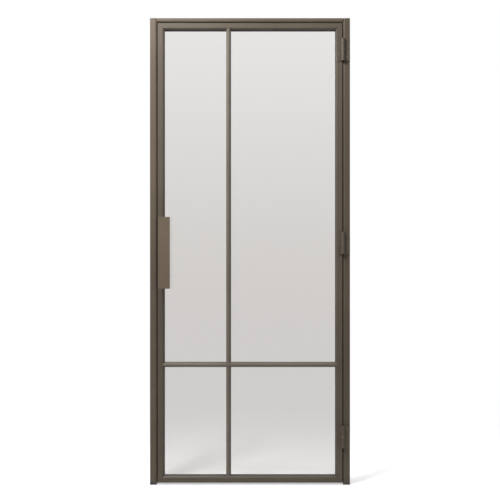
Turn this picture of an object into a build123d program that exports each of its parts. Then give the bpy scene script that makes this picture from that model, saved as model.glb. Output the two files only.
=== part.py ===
import os

from build123d import *

os.makedirs("parts", exist_ok=True)

# A hinged glass door in its own slim metal frame, drawn closed, in millimetres.
# X runs across the opening with the hinges on the +X side, Y points away from someone who
# stands at the pull side, and Z is up. The origin is on the floor at mid width, half way
# from the face of the pull to the back of the frame.

# Fixed frame
frame_width = 900.0
frame_height = 2100.0
jamb_face = 30.0
head_face = 18.0
stop_lip = 15.0
stop_depth = 20.0
frame_wall = 2.0
frame_bevel_width = 6.0
frame_bevel_depth = 4.0
cope_overrun = 1.0
foot_height = 12.0
foot_spigot = 15.0
foot_wall = 2.5
plug_clearance = 0.2

# Gaps round the leaf
edge_gap = 4.0
floor_gap = 9.0
seal_gap = 4.0
seal_clearance = 0.3

# Leaf members: a tube with a glazing lip behind the glass
leaf_depth = 40.0
member_face = 30.0
tube_face = 20.0
tube_wall = 2.0
rebate_wall = 3.0
lip_depth = 12.0
bead_depth = 12.0
bead_wall = 1.5
glazing_bevel = 7.0
hook_depth = 1.2
hook_width = 2.0
hook_clearance = 0.1
hook_from_front = 6.0
edge_radius = 0.8

# Glazing bars
bar_face = 20.0
bar_web = 4.0
bar_wall = 1.8
bar_from_lock_edge = 319.5
bar_centre_z = 539.0
web_nose = 4.0
cap_wall = 1.6
clip_wall = 1.5
clip_length = 4.0
clip_clearance = 0.1
spigot_reach = 25.0
spigot_clearance = 0.2

# Glass and glazing rubber
glass_thickness = 8.0
glass_cover = 6.0
rubber_base = 2.0
rubber_show = 0.8
setting_block_length = 60.0
setting_block_inset = 70.0

# Corner cleats
cleat_leg = 62.0
cleat_clearance = 0.2
cleat_rib = 4.0

# Hinges
hinge_height = 100.0
hinge_from_leaf_low = 209.0
hinge_from_leaf_top = 121.0
knuckle_radius = 9.0
knuckle_clearance = 0.5
knuckle_chamfer = 0.8
wing_thickness = 5.0
frame_wing_reach = 26.0
leaf_wing_reach = 19.5
wing_corner_radius = 3.0
washer_thickness = 1.5
washer_play = 0.1
washer_radius = 8.6
hinge_pin_radius = 4.0
pin_fixed_clearance = 0.02
pin_running_clearance = 0.05
pin_engagement = 30.0
pin_tip_clearance = 1.0
pin_foot_inset = 2.0
backing_thickness = 4.0
backing_clearance = 0.3

# Wing screws
wing_screw_radius = 2.5
wing_screw_head_radius = 4.6
wing_screw_length = 13.0
wing_screw_pitch = 35.0
screw_clearance = 0.25
thread_clearance = 0.05
socket_width = 3.0
socket_depth = 1.6
countersink_angle = 90.0
screw_tip_chamfer = 0.6

# Screws that hold the head between the jambs
head_screw_radius = 2.5
head_screw_head_radius = 4.5
head_screw_head_height = 3.0
head_screw_head_rounding = 1.0
head_screw_length = 22.0
head_screw_access_radius = 6.0
port_wall = 1.6
port_inset = 7.7

# Holes for the screws into the surrounding wall, and their plugs
wall_hole_radius = 4.0
wall_hole_inset = 120.0
wall_hole_count = 4
lintel_hole_pitch = 400.0
access_radius = 8.0
plug_lip = 1.0
plug_head = 0.8
plug_rounding = 0.4
plug_length = 5.0

# Seal round the stop
seal_mouth = 3.0
seal_pocket = 5.0
seal_pocket_depth = 2.4
seal_pocket_wall = 1.2
seal_from_lip_edge = 6.5
bulb_width = 6.4
bulb_wall = 0.9
seal_foot_clearance = 0.2

# Pull
pull_length = 320.0
pull_width = 52.0
pull_thickness = 5.0
pull_projection = 46.0
pull_centre_z = 1044.0
pull_edge_inset = 7.0
pull_corner_radius = 1.5
pull_edge_radius = 0.6
post_radius = 6.0
post_from_edge = 6.5
post_inset = 40.0
post_bore_depth = 15.0
post_washer = 1.0
pull_screw_radius = 3.0
pull_screw_engagement = 12.0
pull_screw_head_radius = 4.5
pull_screw_head_height = 2.2
pull_screw_head_rounding = 0.7

# Magnetic catch
catch_from_lock_edge = 86.0
catch_from_front = 22.0
keeper_length = 44.0
keeper_width = 14.0
keeper_thickness = 2.5
keeper_screw_pitch = 32.0
keeper_screw_radius = 1.5
keeper_screw_head_radius = 2.8
keeper_screw_length = 8.0
catch_length = 40.0
catch_width = 14.0
catch_body_depth = 13.0
catch_flange = 4.0
catch_flange_thickness = 1.0
catch_clearance = 0.2
magnet_length = 28.0
magnet_width = 8.0
magnet_depth = 9.0

# Planes and places that follow from the sizes above
half_width = frame_width / 2
overall_depth = pull_projection + leaf_depth + seal_gap + stop_depth
front_y = pull_projection - overall_depth / 2
rear_y = front_y + leaf_depth
stop_y = rear_y + seal_gap
back_y = stop_y + stop_depth
jamb_inner_x = half_width - jamb_face
stop_inner_x = jamb_inner_x - stop_lip
head_under_z = frame_height - head_face
leaf_half = jamb_inner_x - edge_gap
leaf_low = floor_gap
leaf_top = head_under_z - edge_gap
leaf_width = 2 * leaf_half
leaf_height = leaf_top - leaf_low
lip_front_y = rear_y - lip_depth
bead_back_y = front_y + bead_depth
sight_x = leaf_half - member_face
sight_low = leaf_low + member_face
sight_top = leaf_top - member_face
rebate_depth = member_face - tube_face
hook_y = front_y + hook_from_front
bar_centre_x = -leaf_half + bar_from_lock_edge
catch_centre_x = -leaf_half + catch_from_lock_edge
catch_y = front_y + catch_from_front
hinge_x = leaf_half + edge_gap / 2
hinge_y = front_y - knuckle_clearance - knuckle_radius
notch_reach = knuckle_radius + knuckle_clearance
frame_wing_end = jamb_inner_x + frame_wing_reach
leaf_wing_end = leaf_half - leaf_wing_reach
frame_screw_x = (hinge_x + notch_reach + frame_wing_end) / 2
leaf_screw_x = (leaf_wing_end + hinge_x - notch_reach) / 2

UP = (0, 0, 1)
DOWN = (0, 0, -1)
LEFT = (-1, 0, 0)
RIGHT = (1, 0, 0)
FRONT = (0, -1, 0)
REAR = (0, 1, 0)


def slab(u_low, u_high, v_low, v_high, mode=Mode.ADD):
    """A rectangle of the sketch in work, given by its four sides."""
    with Locations((u_low, v_low)):
        Rectangle(u_high - u_low, v_high - v_low, align=(Align.MIN, Align.MIN), mode=mode)


def save(builder, name):
    """Name a finished piece and write its file."""
    builder.part.label = name
    export_step(builder.part, f"parts/{name}.step")


# Sections. Their x axis is measured from the outer face into the opening, their y axis is Y.

def front_half(face):
    """Outline of the frame profile's front half, down to the back of the wall behind its chamber."""
    return Polygon(
        (0, front_y), (face - frame_bevel_width, front_y), (face, front_y + frame_bevel_depth),
        (face, stop_y + frame_wall), (0, stop_y + frame_wall), align=None, mode=Mode.PRIVATE,
    )


def frame_section(face):
    """Hollow frame profile: a bevelled front chamber, a stop behind the leaf, a grooved stop face."""
    lip_end = face + stop_lip
    groove = lip_end - seal_from_lip_edge
    pocket_back = stop_y + frame_wall + seal_pocket_depth
    with BuildSketch() as section:
        with BuildLine():
            Polyline(
                (0, front_y), (face - frame_bevel_width, front_y), (face, front_y + frame_bevel_depth),
                (face, stop_y), (lip_end, stop_y), (lip_end, back_y), (0, back_y), close=True,
            )
        outline = make_face()
        fillet(
            outline.vertices().filter_by(lambda v: v.distance_to((face, stop_y, 0)) > edge_radius),
            edge_radius,
        )
        offset(front_half(face), amount=-frame_wall, kind=Kind.INTERSECTION, mode=Mode.SUBTRACT)
        slab(frame_wall, lip_end - frame_wall, stop_y + frame_wall, back_y - frame_wall, Mode.SUBTRACT)
        slab(
            groove - seal_pocket / 2 - seal_pocket_wall, groove + seal_pocket / 2 + seal_pocket_wall,
            stop_y + frame_wall, pocket_back + seal_pocket_wall,
        )
        slab(groove - seal_mouth / 2, groove + seal_mouth / 2, stop_y, pocket_back, Mode.SUBTRACT)
        slab(groove - seal_pocket / 2, groove + seal_pocket / 2, stop_y + frame_wall, pocket_back,
             Mode.SUBTRACT)
    return section.sketch


def seal_section(face):
    """Rubber seal: a foot in the groove, a stem and a hollow bulb towards the leaf."""
    centre = face + stop_lip - seal_from_lip_edge
    crown_y = rear_y + seal_clearance
    inner = bulb_width / 2 - bulb_wall
    stem = seal_mouth / 2 - seal_foot_clearance
    pocket = seal_pocket / 2 - seal_foot_clearance
    with BuildSketch() as section:
        with BuildLine():
            ThreePointArc((centre - bulb_width / 2, stop_y), (centre, crown_y),
                          (centre + bulb_width / 2, stop_y))
            Line((centre + bulb_width / 2, stop_y), (centre - bulb_width / 2, stop_y))
        make_face()
        with BuildLine():
            ThreePointArc((centre - inner, stop_y - bulb_wall), (centre, crown_y + bulb_wall),
                          (centre + inner, stop_y - bulb_wall))
            Line((centre + inner, stop_y - bulb_wall), (centre - inner, stop_y - bulb_wall))
        make_face(mode=Mode.SUBTRACT)
        slab(centre - stem, centre + stem, stop_y, stop_y + frame_wall + seal_pocket_depth / 2)
        slab(centre - pocket, centre + pocket, stop_y + frame_wall + seal_foot_clearance,
             stop_y + frame_wall + seal_pocket_depth - seal_foot_clearance)
    return section.sketch


jamb_section = frame_section(jamb_face)

# The head has two open screw ports in its front chamber, each on a fin from the top wall.
port_bore = head_screw_radius + thread_clearance
port_radius = port_bore + port_wall
port_ys = (front_y + frame_wall + port_inset, stop_y - port_inset - frame_wall / 2)
port_depth = head_face / 2
head_outline = frame_section(head_face)
with BuildSketch() as head_section:
    add(head_outline)
    with Locations(*[(port_depth, y) for y in port_ys]):
        Circle(port_radius)
    for y in port_ys:
        slab(frame_wall / 2, port_depth, y - frame_wall / 2, y + frame_wall / 2)
    with Locations(*[(port_depth, y) for y in port_ys]):
        Circle(port_bore, mode=Mode.SUBTRACT)

with BuildSketch() as member_section:
    with BuildLine():
        Polyline(
            (0, front_y), (tube_face, front_y), (tube_face, lip_front_y), (member_face, lip_front_y),
            (member_face, rear_y), (0, rear_y), close=True,
        )
    member_outline = make_face()
    fillet(
        member_outline.vertices().filter_by(
            lambda v: v.distance_to((tube_face, lip_front_y, 0)) > edge_radius
        ),
        edge_radius,
    )
    slab(tube_wall, tube_face - rebate_wall, front_y + tube_wall, rear_y - tube_wall, Mode.SUBTRACT)
    slab(tube_face, member_face - tube_wall, lip_front_y + tube_wall, rear_y - tube_wall,
         Mode.SUBTRACT)
    slab(tube_face - hook_depth, tube_face, hook_y, hook_y + hook_width, Mode.SUBTRACT)

# Snap-in bead: a small hollow bar, bevelled towards the glass, with a hook that springs into
# the tube's slot.
with BuildSketch() as bead_section:
    with BuildLine():
        Polyline(
            (tube_face, front_y), (member_face - glazing_bevel, front_y),
            (member_face, front_y + glazing_bevel), (member_face, bead_back_y),
            (tube_face, bead_back_y), close=True,
        )
    bead_outline = make_face()
    fillet(bead_outline.vertices().group_by(Axis.Y)[0], edge_radius)
    offset(bead_outline, amount=-bead_wall, kind=Kind.INTERSECTION, mode=Mode.SUBTRACT)
    slab(tube_face - hook_depth + hook_clearance, tube_face + bead_wall / 2,
         hook_y + hook_clearance, hook_y + hook_width - hook_clearance)

# T bar: a hollow flange behind the glass and a web between the panes.
half_bar = bar_face / 2
half_web = bar_web / 2
with BuildSketch() as bar_section:
    slab(-half_bar, half_bar, lip_front_y, rear_y)
    fillet(bar_section.vertices().group_by(Axis.Y)[-1], edge_radius)
    slab(-half_web, half_web, bead_back_y - web_nose, lip_front_y + bar_wall / 2)
    slab(-half_bar + bar_wall, half_bar - bar_wall, lip_front_y + bar_wall, rear_y - bar_wall,
         Mode.SUBTRACT)

# Front cap: a hollow strip with the beads' bevel on both sides. Its two clip legs grip the nose
# of the web.
clip_inner = half_web + clip_clearance
with BuildSketch() as cap_section:
    with BuildLine():
        Polyline(
            (-half_bar, bead_back_y), (-half_bar, front_y + glazing_bevel),
            (-half_bar + glazing_bevel, front_y), (half_bar - glazing_bevel, front_y),
            (half_bar, front_y + glazing_bevel), (half_bar, bead_back_y), close=True,
        )
    cap_outline = make_face()
    fillet(cap_outline.vertices().group_by(Axis.Y)[0], edge_radius)
    offset(cap_outline, amount=-cap_wall, kind=Kind.INTERSECTION, mode=Mode.SUBTRACT)
    slab(-clip_inner - clip_wall, clip_inner + clip_wall,
         bead_back_y - cap_wall - clip_length, bead_back_y - cap_wall)
    slab(-clip_inner, clip_inner, bead_back_y - cap_wall - clip_length, bead_back_y, Mode.SUBTRACT)


# Fixed frame

wall_hole_pitch = (frame_height - 2 * wall_hole_inset) / (wall_hole_count - 1)
wall_hole_zs = [wall_hole_inset + wall_hole_pitch * i for i in range(wall_hole_count)]
wall_hole_y = (front_y + stop_y) / 2
hinge_low_z = leaf_low + hinge_from_leaf_low
hinge_top_z = leaf_top - hinge_from_leaf_top
hinge_centres = {
    "low": hinge_low_z,
    "middle": (hinge_low_z + hinge_top_z) / 2,
    "top": hinge_top_z,
}
wing_screw_zs = [
    centre + wing_screw_pitch * step for centre in hinge_centres.values() for step in (-1, 0, 1)
]


def upright_plane(side, x, z_low, z_high):
    """Section plane for an upright: its x axis points into the opening, its y axis is Y."""
    return Plane((side * x, 0, z_low if side < 0 else z_high), x_dir=(-side, 0, 0), z_dir=(0, 0, -side))


jamb_length = frame_height - foot_height
for side, name in ((-1, "lock_jamb"), (1, "hinge_jamb")):
    with BuildPart() as jamb:
        with BuildSketch(upright_plane(side, half_width, foot_height, frame_height)):
            add(jamb_section)
        extrude(amount=jamb_length)
        # Screws into the wall go through the outer wall, and their heads pass the inner one.
        with Locations(*[Plane((side * half_width, wall_hole_y, z), z_dir=(side, 0, 0))
                         for z in wall_hole_zs]):
            Hole(wall_hole_radius, depth=2 * frame_wall)
        with Locations(*[Plane((side * jamb_inner_x, wall_hole_y, z), z_dir=(-side, 0, 0))
                         for z in wall_hole_zs]):
            Hole(access_radius, depth=2 * frame_wall)
        # Screws into the head's ports bear on the inner wall.
        with Locations(*[Plane((side * half_width, y, frame_height - port_depth), z_dir=(side, 0, 0))
                         for y in port_ys]):
            Hole(head_screw_access_radius, depth=2 * frame_wall)
        with Locations(*[Plane((side * jamb_inner_x, y, frame_height - port_depth),
                               z_dir=(-side, 0, 0)) for y in port_ys]):
            Hole(head_screw_radius + screw_clearance, depth=2 * frame_wall)
        if side > 0:
            with Locations(*[Plane((frame_screw_x, front_y, z), z_dir=FRONT) for z in wing_screw_zs]):
                Hole(wing_screw_radius + screw_clearance, depth=2 * frame_wall)
    save(jamb, name)

# The head's front half fits between the jamb faces, its stop between the jamb stops.
head_length = 2 * jamb_inner_x
lintel_hole_xs = (-lintel_hole_pitch / 2, lintel_hole_pitch / 2)
with BuildPart() as head:
    with BuildSketch(Plane((-jamb_inner_x, 0, frame_height), x_dir=DOWN, z_dir=RIGHT)):
        add(head_section.sketch)
    extrude(amount=head_length)
    with BuildSketch(Plane((0, stop_y, frame_height), x_dir=RIGHT, z_dir=REAR)):
        for side in (-1, 1):
            with Locations((side * (stop_inner_x + jamb_inner_x) / 2, 0)):
                Rectangle(stop_lip, 2 * (head_face + stop_lip + cope_overrun))
    extrude(amount=stop_depth, mode=Mode.SUBTRACT)
    with Locations(*[Plane((x, wall_hole_y, frame_height), z_dir=UP) for x in lintel_hole_xs]):
        Hole(wall_hole_radius, depth=2 * frame_wall)
    with Locations(*[Plane((x, wall_hole_y, head_under_z), z_dir=DOWN) for x in lintel_hole_xs]):
        Hole(access_radius, depth=2 * frame_wall)
    with Locations(*[Plane((catch_centre_x + side * keeper_screw_pitch / 2, catch_y, head_under_z),
                           z_dir=DOWN) for side in (-1, 1)]):
        Hole(keeper_screw_radius + thread_clearance, depth=2 * frame_wall)
save(head, "head")

with BuildPart() as pan_screw:
    with BuildSketch(Plane.XZ):
        slab(0, head_screw_head_radius, 0, head_screw_head_height)
        slab(0, head_screw_radius, -head_screw_length, 0)
    revolve(axis=Axis.Z)
    fillet(pan_screw.edges().sort_by(Axis.Z)[-1], head_screw_head_rounding)
    with BuildSketch(Plane.XY.offset(head_screw_head_height)):
        RegularPolygon(socket_width / 2, side_count=6, major_radius=False)
    extrude(amount=-socket_depth, mode=Mode.SUBTRACT)

with BuildPart() as head_screws:
    with Locations(*[Plane((side * (jamb_inner_x + frame_wall), y, frame_height - port_depth),
                           z_dir=(side, 0, 0)) for side in (-1, 1) for y in port_ys]):
        add(pan_screw.part)
save(head_screws, "head_screws")

# Moulded feet: a solid shoe under each jamb with a hollow spigot up its front chamber.
for side, name in ((-1, "lock_jamb_foot"), (1, "hinge_jamb_foot")):
    with BuildPart() as foot:
        with BuildSketch(upright_plane(side, half_width, 0, foot_height)):
            slab(0, jamb_face, front_y, back_y)
            slab(0, jamb_face + stop_lip, stop_y, back_y)
        extrude(amount=foot_height)
        upward = 1 if side < 0 else -1
        with BuildSketch(upright_plane(side, half_width, foot_height, foot_height)):
            offset(front_half(jamb_face), amount=-frame_wall - plug_clearance, kind=Kind.INTERSECTION)
            offset(front_half(jamb_face), amount=-frame_wall - foot_wall, kind=Kind.INTERSECTION,
                   mode=Mode.SUBTRACT)
        extrude(amount=upward * foot_spigot)
    save(foot, name)

# Push-in plugs over the heads of the wall screws.
with BuildPart() as hole_plug:
    with BuildSketch():
        Circle(access_radius + plug_lip)
    extrude(amount=plug_head)
    fillet(hole_plug.edges().group_by(Axis.Z)[-1], plug_rounding)
    with BuildSketch():
        Circle(access_radius - plug_clearance)
    extrude(amount=-plug_length)

plug_planes = [
    Plane((side * jamb_inner_x, wall_hole_y, z), z_dir=(-side, 0, 0))
    for side in (-1, 1) for z in wall_hole_zs
] + [Plane((x, wall_hole_y, head_under_z), z_dir=DOWN) for x in lintel_hole_xs]
with BuildPart() as hole_plugs:
    with Locations(*plug_planes):
        add(hole_plug.part)
save(hole_plugs, "hole_plugs")


jamb_seal_section = seal_section(jamb_face)
head_seal_section = seal_section(head_face)
seal_top_z = head_under_z - seal_clearance
for side, name in ((-1, "lock_seal"), (1, "hinge_seal")):
    with BuildPart() as seal:
        with BuildSketch(upright_plane(side, half_width, foot_height, seal_top_z)):
            add(jamb_seal_section)
        extrude(amount=seal_top_z - foot_height)
    save(seal, name)

with BuildPart() as head_seal:
    with BuildSketch(Plane((-stop_inner_x, 0, frame_height), x_dir=DOWN, z_dir=RIGHT)):
        add(head_seal_section)
    extrude(amount=2 * stop_inner_x)
save(head_seal, "head_seal")


# Leaf frame: four mitred members. The chain of planes runs round the leaf, lock side first.

leaf_planes = {
    "lock_stile": Plane((-leaf_half, 0, leaf_low), x_dir=RIGHT, z_dir=UP),
    "top_rail": Plane((-leaf_half, 0, leaf_top), x_dir=DOWN, z_dir=RIGHT),
    "hinge_stile": Plane((leaf_half, 0, leaf_top), x_dir=LEFT, z_dir=DOWN),
    "bottom_rail": Plane((leaf_half, 0, leaf_low), x_dir=UP, z_dir=LEFT),
}
leaf_lengths = {
    "lock_stile": leaf_height, "top_rail": leaf_width,
    "hinge_stile": leaf_height, "bottom_rail": leaf_width,
}
bead_names = {
    "lock_stile": "lock_bead", "top_rail": "top_bead",
    "hinge_stile": "hinge_bead", "bottom_rail": "bottom_bead",
}
lip_mid_y = (lip_front_y + rear_y) / 2
spigot_width = bar_face - 2 * bar_wall - 2 * spigot_clearance
spigot_depth = lip_depth - 2 * tube_wall - 2 * spigot_clearance
window_width = spigot_width + 2 * spigot_clearance
window_depth = lip_depth - 2 * tube_wall
# Middle of the window that each member's lip has for a bar's spigot, and the way it faces.
window_planes = {
    "lock_stile": Plane((-sight_x, lip_mid_y, bar_centre_z), x_dir=UP, z_dir=RIGHT),
    "top_rail": Plane((bar_centre_x, lip_mid_y, sight_top), x_dir=RIGHT, z_dir=DOWN),
    "hinge_stile": Plane((sight_x, lip_mid_y, bar_centre_z), x_dir=UP, z_dir=LEFT),
    "bottom_rail": Plane((bar_centre_x, lip_mid_y, sight_low), x_dir=RIGHT, z_dir=UP),
}
post_x = -leaf_half + pull_edge_inset + post_from_edge
post_zs = [pull_centre_z + side * (pull_length / 2 - post_inset) for side in (-1, 1)]


def cut_mitres(plane, length):
    """Cut both ends of the bar in work at 45 degrees, towards the inside of the leaf."""
    split(bisect_by=Plane(plane.origin, z_dir=plane.z_dir - plane.x_dir), keep=Keep.TOP)
    split(bisect_by=Plane(plane.offset(length).origin, z_dir=-plane.z_dir - plane.x_dir), keep=Keep.TOP)


for name, plane in leaf_planes.items():
    with BuildPart() as member:
        with BuildSketch(plane):
            add(member_section.sketch)
        extrude(amount=leaf_lengths[name])
        cut_mitres(plane, leaf_lengths[name])
        with BuildSketch(window_planes[name]):
            Rectangle(window_width, window_depth)
        extrude(amount=-tube_wall, mode=Mode.SUBTRACT)
        if name == "lock_stile":
            with Locations(*[Plane((post_x, front_y, z), z_dir=FRONT) for z in post_zs]):
                Hole(pull_screw_radius + screw_clearance, depth=leaf_depth)
        if name == "hinge_stile":
            with Locations(*[Plane((leaf_screw_x, front_y, z), z_dir=FRONT) for z in wing_screw_zs]):
                Hole(wing_screw_radius + screw_clearance, depth=2 * tube_wall)
        if name == "top_rail":
            with BuildSketch(Plane((catch_centre_x, catch_y, leaf_top), z_dir=UP)):
                Rectangle(catch_length + 2 * catch_clearance, catch_width + 2 * catch_clearance)
            extrude(amount=-tube_wall, mode=Mode.SUBTRACT)
    save(member, name)

    with BuildPart() as bead:
        with BuildSketch(plane):
            add(bead_section.sketch)
        extrude(amount=leaf_lengths[name])
        cut_mitres(plane, leaf_lengths[name])
    save(bead, bead_names[name])

# Corner cleats: an L block with cast windows, pressed into the tubes of both members.
cleat_inner = tube_wall + cleat_clearance
cleat_outer = tube_face - rebate_wall - cleat_clearance
cleat_depth = leaf_depth - 2 * tube_wall - 2 * cleat_clearance
cleat_end = cleat_inner + cleat_leg
with BuildPart() as corner_cleats:
    for plane in leaf_planes.values():
        corner = Plane(plane.origin + Vector(0, rear_y - cleat_inner, 0), x_dir=plane.x_dir, z_dir=FRONT)
        with BuildSketch(corner):
            slab(cleat_inner, cleat_end, cleat_inner, cleat_outer)
            slab(cleat_inner, cleat_outer, cleat_inner, cleat_end)
            slab(cleat_outer + cleat_rib, cleat_end - cleat_rib,
                 cleat_inner + cleat_rib, cleat_outer - cleat_rib, Mode.SUBTRACT)
            slab(cleat_inner + cleat_rib, cleat_outer - cleat_rib,
                 cleat_outer + cleat_rib, cleat_end - cleat_rib, Mode.SUBTRACT)
        extrude(amount=cleat_depth)
save(corner_cleats, "corner_cleats")


# Glazing bars. The upright bar runs from rail to rail and the level ones meet it.

bar_left_x = bar_centre_x - half_bar
bar_right_x = bar_centre_x + half_bar
upright_length = sight_top - sight_low
left_bar_length = bar_left_x + sight_x
right_bar_length = sight_x - bar_right_x
cross_tongue = half_bar - half_web
upright_start = Plane((bar_centre_x, 0, sight_low), x_dir=RIGHT, z_dir=UP)
left_start = Plane((-sight_x, 0, bar_centre_z), x_dir=DOWN, z_dir=RIGHT)
right_start = Plane((bar_right_x, 0, bar_centre_z), x_dir=DOWN, z_dir=RIGHT)

# Each bar's web runs on past both ends of its flange, as a tongue between the panes.
for name, plane, length, tongue_start, tongue_end in (
    ("upright_bar", upright_start, upright_length, rebate_depth, rebate_depth),
    ("level_bar_left", left_start, left_bar_length, rebate_depth, cross_tongue),
    ("level_bar_right", right_start, right_bar_length, cross_tongue, rebate_depth),
):
    with BuildPart() as bar:
        with BuildSketch(plane):
            add(bar_section.sketch)
        extrude(amount=length)
        with BuildSketch(plane.offset(-tongue_start)):
            slab(-half_web, half_web, bead_back_y, lip_front_y)
        extrude(amount=length + tongue_start + tongue_end)
        if name == "upright_bar":
            with BuildSketch(Plane((bar_left_x, lip_mid_y, bar_centre_z), x_dir=UP, z_dir=RIGHT)):
                Rectangle(window_width, window_depth)
            extrude(amount=bar_face, mode=Mode.SUBTRACT)
    save(bar, name)

# The caps' ends are coped over the bevel of the bead or cap that they meet.
for name, plane, length in (
    ("upright_cap", upright_start, upright_length),
    ("level_cap_left", left_start, left_bar_length),
    ("level_cap_right", right_start, right_bar_length),
):
    with BuildPart() as cap:
        with BuildSketch(plane.offset(-glazing_bevel)):
            add(cap_section.sketch)
        extrude(amount=length + 2 * glazing_bevel)
        with BuildSketch(Plane(plane.origin, x_dir=plane.z_dir, z_dir=-plane.x_dir)):
            for end, outward in ((0, -1), (length, 1)):
                with BuildLine():
                    Polyline(
                        (end, front_y + glazing_bevel), (end + outward * glazing_bevel, front_y),
                        (end + outward * glazing_bevel, bead_back_y), (end, bead_back_y), close=True,
                    )
                make_face()
        extrude(amount=half_bar, both=True, mode=Mode.SUBTRACT)
    save(cap, name)

# Spigots: one in each end of the bars, and one right through the crossing.
spigot_tail = member_face - tube_wall - tube_face - spigot_clearance
with BuildPart() as bar_spigots:
    for plane in window_planes.values():
        with BuildSketch(plane.offset(-tube_wall - spigot_tail)):
            Rectangle(spigot_width, spigot_depth)
        extrude(amount=spigot_tail + tube_wall + spigot_reach)
    with BuildSketch(Plane((bar_left_x - spigot_reach, lip_mid_y, bar_centre_z), x_dir=UP, z_dir=RIGHT)):
        Rectangle(spigot_width, spigot_depth)
    extrude(amount=bar_face + 2 * spigot_reach)
save(bar_spigots, "bar_spigots")


# Glass, its rubber channels and setting blocks

pane_cover_x = sight_x + glass_cover
pane_low = sight_low - glass_cover
pane_top = sight_top + glass_cover
bar_edge = half_web + rubber_base
panes = {
    "upper_left": (-pane_cover_x, bar_centre_x - bar_edge, bar_centre_z + bar_edge, pane_top),
    "upper_right": (bar_centre_x + bar_edge, pane_cover_x, bar_centre_z + bar_edge, pane_top),
    "lower_left": (-pane_cover_x, bar_centre_x - bar_edge, pane_low, bar_centre_z - bar_edge),
    "lower_right": (bar_centre_x + bar_edge, pane_cover_x, pane_low, bar_centre_z - bar_edge),
}
openings = {
    "upper_left": (-sight_x, bar_left_x, bar_centre_z + half_bar, sight_top),
    "upper_right": (bar_right_x, sight_x, bar_centre_z + half_bar, sight_top),
    "lower_left": (-sight_x, bar_left_x, sight_low, bar_centre_z - half_bar),
    "lower_right": (bar_right_x, sight_x, sight_low, bar_centre_z - half_bar),
}
glazing_depth = lip_front_y - bead_back_y
glazing_mid_y = (lip_front_y + bead_back_y) / 2
glass_plane = Plane((0, glazing_mid_y, 0), x_dir=RIGHT, z_dir=FRONT)
for name, (x_low, x_high, z_low, z_high) in panes.items():
    with BuildPart() as pane:
        with BuildSketch(glass_plane):
            slab(x_low, x_high, z_low, z_high)
        extrude(amount=glass_thickness / 2, both=True)
    save(pane, f"pane_{name}")

    hole_left, hole_right, hole_low, hole_high = openings[name]
    with BuildPart() as rubber:
        with BuildSketch(glass_plane):
            slab(x_low - rubber_base, x_high + rubber_base, z_low - rubber_base, z_high + rubber_base)
            slab(hole_left + rubber_show, hole_right - rubber_show, hole_low + rubber_show,
                 hole_high - rubber_show, Mode.SUBTRACT)
        extrude(amount=glazing_depth / 2, both=True)
        with BuildSketch(glass_plane):
            slab(x_low, x_high, z_low, z_high)
        extrude(amount=glass_thickness / 2, both=True, mode=Mode.SUBTRACT)
    save(rubber, f"rubber_{name}")

block_low = leaf_low + tube_face
block_height = pane_low - rubber_base - block_low
with BuildPart() as setting_blocks:
    for name in ("lower_left", "lower_right"):
        x_low, x_high, z_low, z_high = panes[name]
        for x in (x_low + setting_block_inset, x_high - setting_block_inset):
            with BuildSketch(glass_plane):
                slab(x - setting_block_length / 2, x + setting_block_length / 2, block_low,
                     block_low + block_height)
            extrude(amount=glazing_depth / 2, both=True)
save(setting_blocks, "setting_blocks")


# Lift-off hinges. The lower knuckle and the pin stay on the jamb, the upper knuckle is the leaf's.

knuckle_length = (hinge_height - washer_thickness - washer_play) / 2
wing_screw_hole = wing_screw_radius + screw_clearance
wing_countersink = wing_screw_head_radius + screw_clearance / 2

hinge_axis = Axis((hinge_x, hinge_y, 0), UP)
# Half section of a knuckle from its free end, which has a small chamfer.
with BuildSketch() as knuckle_profile:
    with BuildLine():
        Polyline(
            (0, 0), (knuckle_radius - knuckle_chamfer, 0), (knuckle_radius, knuckle_chamfer),
            (knuckle_radius, knuckle_length), (0, knuckle_length), close=True,
        )
    make_face()

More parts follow.
